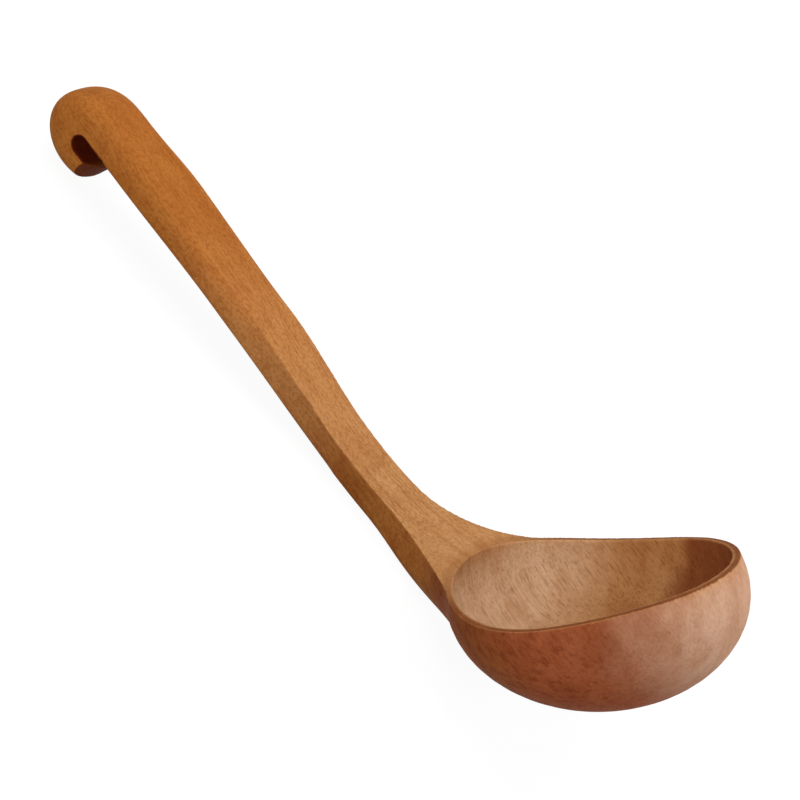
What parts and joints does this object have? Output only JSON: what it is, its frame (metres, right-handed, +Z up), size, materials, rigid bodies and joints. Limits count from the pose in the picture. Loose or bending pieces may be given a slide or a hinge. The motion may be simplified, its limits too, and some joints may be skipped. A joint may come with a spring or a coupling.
{
  "type": "ladle",
  "caption": "One-piece carved wooden ladle: deep round bowl, rim swept up a flared neck into a slim flat handle that ends in an undercut crook for hanging.",
  "frame": {"origin": "middle of the box round the ladle, on the table it lies on", "axes": "+X along the handle from the crook to the tip of the bowl, +Y across, +Z up, with the ladle lying on its back as it rests on a table"},
  "size_m": [0.3042, 0.102, 0.0863],
  "materials": {
    "wood": "satin, oiled"
  },
  "bodies": {
    "root": {"ladle": "wood"}
  },
  "joints": []
}
